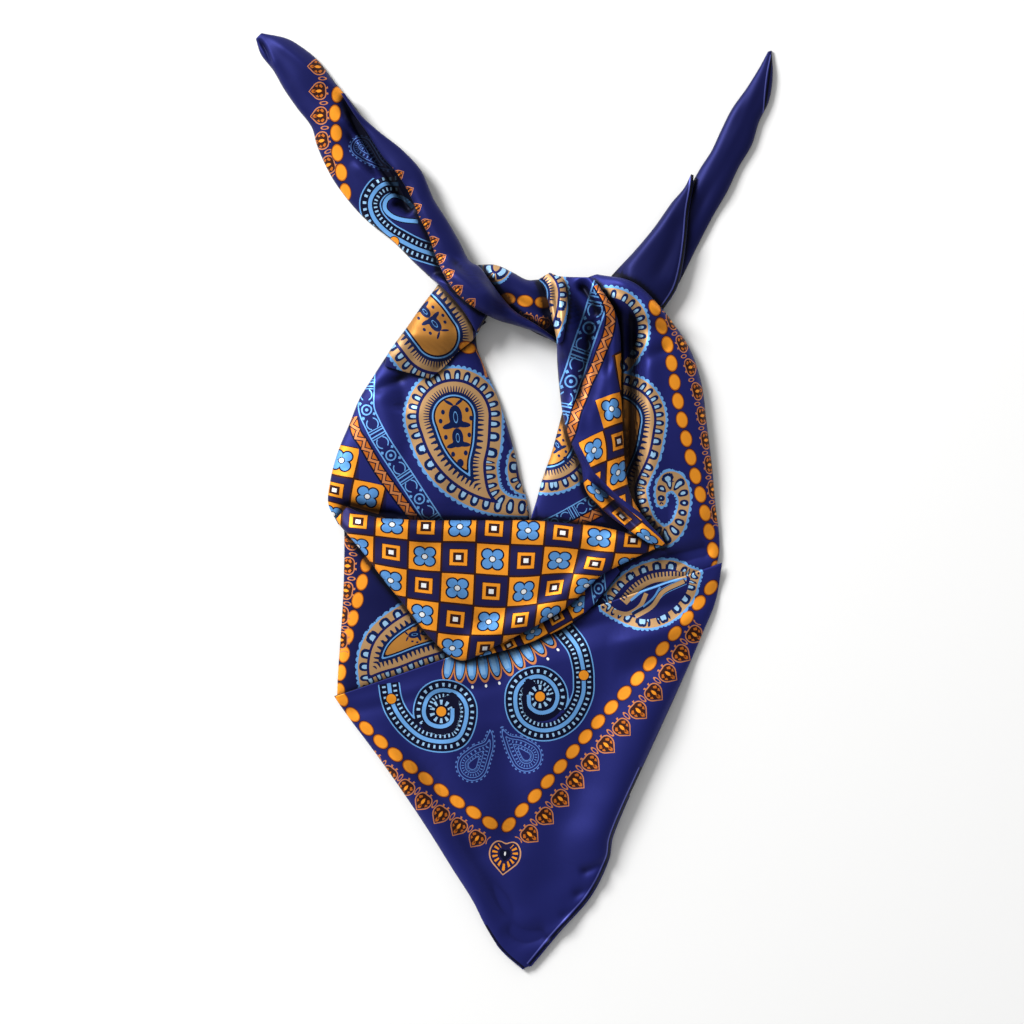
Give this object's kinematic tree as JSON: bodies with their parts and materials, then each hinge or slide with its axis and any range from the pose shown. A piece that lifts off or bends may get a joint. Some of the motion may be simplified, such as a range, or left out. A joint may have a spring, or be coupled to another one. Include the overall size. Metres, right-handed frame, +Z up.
{
  "type": "silk scarf",
  "caption": "Square silk scarf folded cornerwise, tied in a neck loop with a draped bib and tails, laid flat.",
  "frame": {"origin": "on the surface that the scarf lies on, under the middle of its outline", "axes": "+Z up from the surface, +Y from the bib's point towards the tails, +X to the right as seen from above"},
  "size_m": [0.4149, 0.751, 0.036],
  "materials": {
    "navy_silk": "silk satin, navy ground",
    "printed_silk": "silk satin, navy ground printed in orange, beige and light blue"
  },
  "bodies": {
    "root": {"bib_back": "navy_silk", "bib_point": "printed_silk", "bib_yoke_left": "printed_silk", "bib_yoke_right": "printed_silk", "cross_band": "printed_silk", "knot_roll": "printed_silk", "left_band": "printed_silk", "left_band_fold": "printed_silk", "left_tail": "printed_silk", "left_tail_flap": "navy_silk", "right_band_inner": "printed_silk", "right_band_under": "printed_silk", "right_tail": "navy_silk", "right_tail_flap": "navy_silk", "swag": "printed_silk", "swag_under": "printed_silk"}
  },
  "joints": []
}
